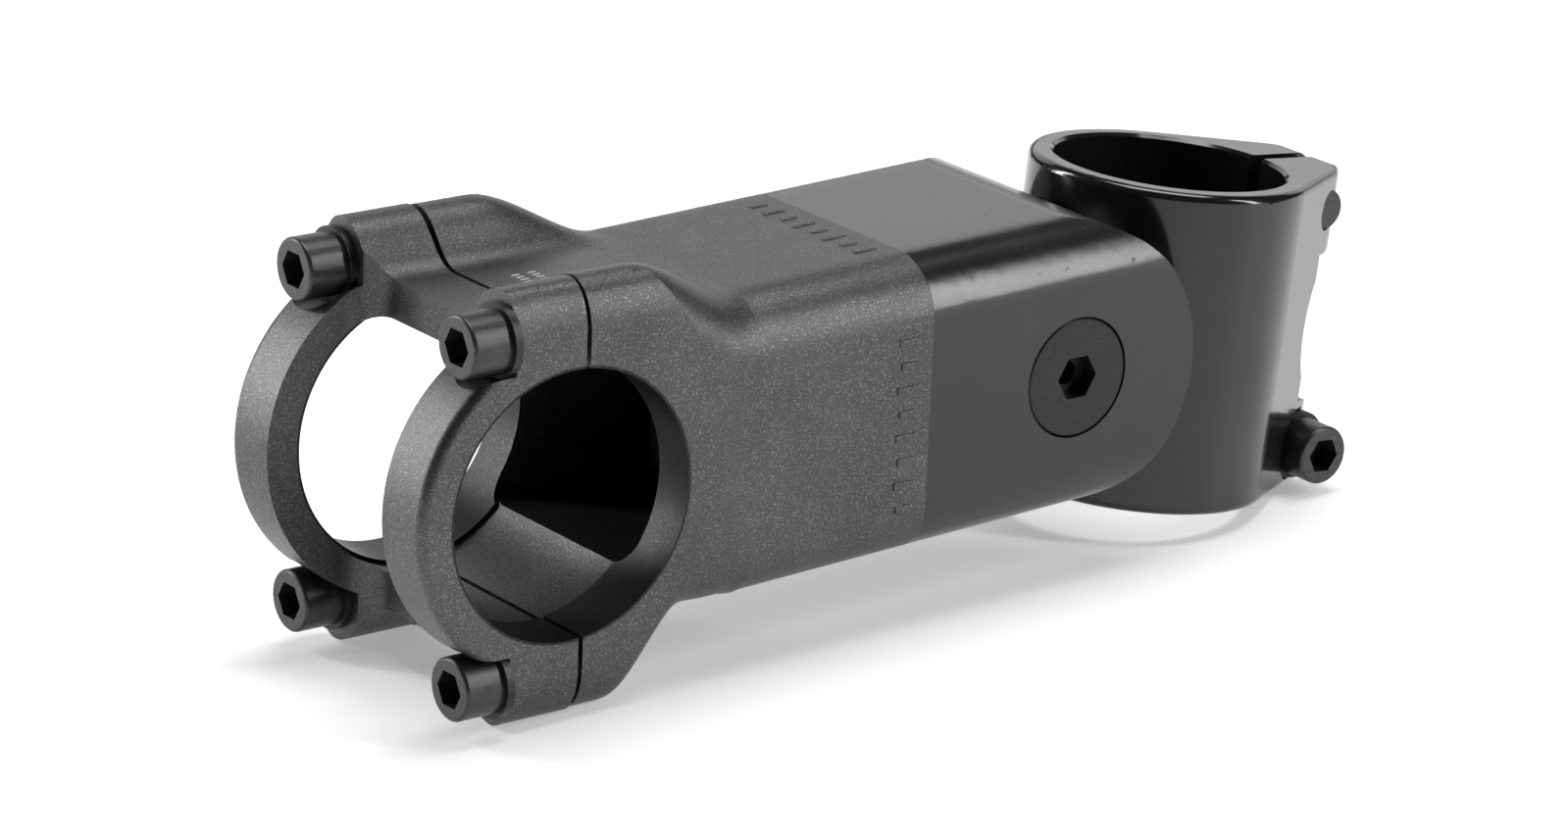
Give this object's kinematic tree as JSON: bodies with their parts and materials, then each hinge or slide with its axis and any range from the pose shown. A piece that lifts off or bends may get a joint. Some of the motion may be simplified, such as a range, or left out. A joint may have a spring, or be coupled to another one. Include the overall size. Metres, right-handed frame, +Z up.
{
  "type": "bicycle handlebar stem",
  "caption": "Suspension handlebar stem: a steerer clamp carries a body that pivots on elastomers and grips the bar with a bolted faceplate.",
  "frame": {"origin": "centre of the steerer bore at the clamp's bottom face", "axes": "+Z up the steerer bore, +X forward to the handlebar, +Y to the rider's left"},
  "size_m": [0.1449, 0.0412, 0.0566],
  "materials": {
    "gloss_anodised": "gloss black anodised",
    "body_anodised": "black anodised, polished behind and bead blasted in front",
    "blasted_anodised": "bead-blasted black anodised",
    "black_steel": "black oxide",
    "disc_steel": "satin black",
    "black_washer": "black oxide",
    "bearing_steel": "ground",
    "wedge_aluminium": "grey anodised",
    "elastomer": "moulded polyurethane"
  },
  "bodies": {
    "steerer_clamp": {"steerer_clamp": "gloss_anodised", "steerer_washers": "black_washer", "steerer_bolt_lower": "black_steel", "steerer_bolt_upper": "black_steel", "bearing_outer_race_left": "bearing_steel", "bearing_outer_race_right": "bearing_steel", "bearing_balls_left": "bearing_steel", "bearing_balls_right": "bearing_steel"},
    "stem": {"stem_body": "body_anodised", "pivot_axle": "bearing_steel", "pivot_bolt_left": "disc_steel", "pivot_bolt_right": "disc_steel", "bearing_inner_race_left": "bearing_steel", "bearing_inner_race_right": "bearing_steel", "bearing_spacer": "bearing_steel", "thrust_spacer_left": "bearing_steel", "thrust_spacer_right": "bearing_steel", "rear_elastomer": "elastomer", "front_elastomer": "elastomer", "rebound_pad": "elastomer"},
    "faceplate": {"faceplate": "blasted_anodised", "faceplate_bolt_top_left": "black_steel", "faceplate_bolt_top_right": "black_steel", "faceplate_bolt_bottom_left": "black_steel", "faceplate_bolt_bottom_right": "black_steel", "faceplate_washer_top_left": "black_washer", "faceplate_washer_top_right": "black_washer", "faceplate_washer_bottom_left": "black_washer", "faceplate_washer_bottom_right": "black_washer"},
    "preload_wedge": {"preload_wedge": "wedge_aluminium", "preload_washer": "black_washer"},
    "preload_screw": {"preload_screw": "black_steel"}
  },
  "joints": [
    {"name": "suspension_pivot", "type": "hinge", "parent": "steerer_clamp", "child": "stem", "pos_m": [0.02774, 0, 0.01985], "axis": [0, 1, 0], "range_deg": [-1, 6], "stiffness_Nm_per_rad": 120, "deforming": ["rear_elastomer", "front_elastomer", "rebound_pad"]},
    {"name": "faceplate_removal", "type": "slide", "parent": "stem", "child": "faceplate", "axis": [0.9945, 0, -0.1045], "range_m": [0, 0.045]},
    {"name": "preload_slide", "type": "slide", "parent": "steerer_clamp", "child": "preload_wedge", "axis": [-0.9613, 0, 0.2756], "range_m": [0, 0.0015], "deforming": ["front_elastomer"]},
    {"name": "preload_turn", "type": "hinge", "parent": "preload_wedge", "child": "preload_screw", "pos_m": [0.06206, 0, 0.00771], "axis": [-0.9613, 0, 0.2756], "range_deg": [0, 772]}
  ],
  "couplings": [
    {"joint": "preload_turn", "follows": "preload_slide", "rad_per_m": 8976}
  ]
}
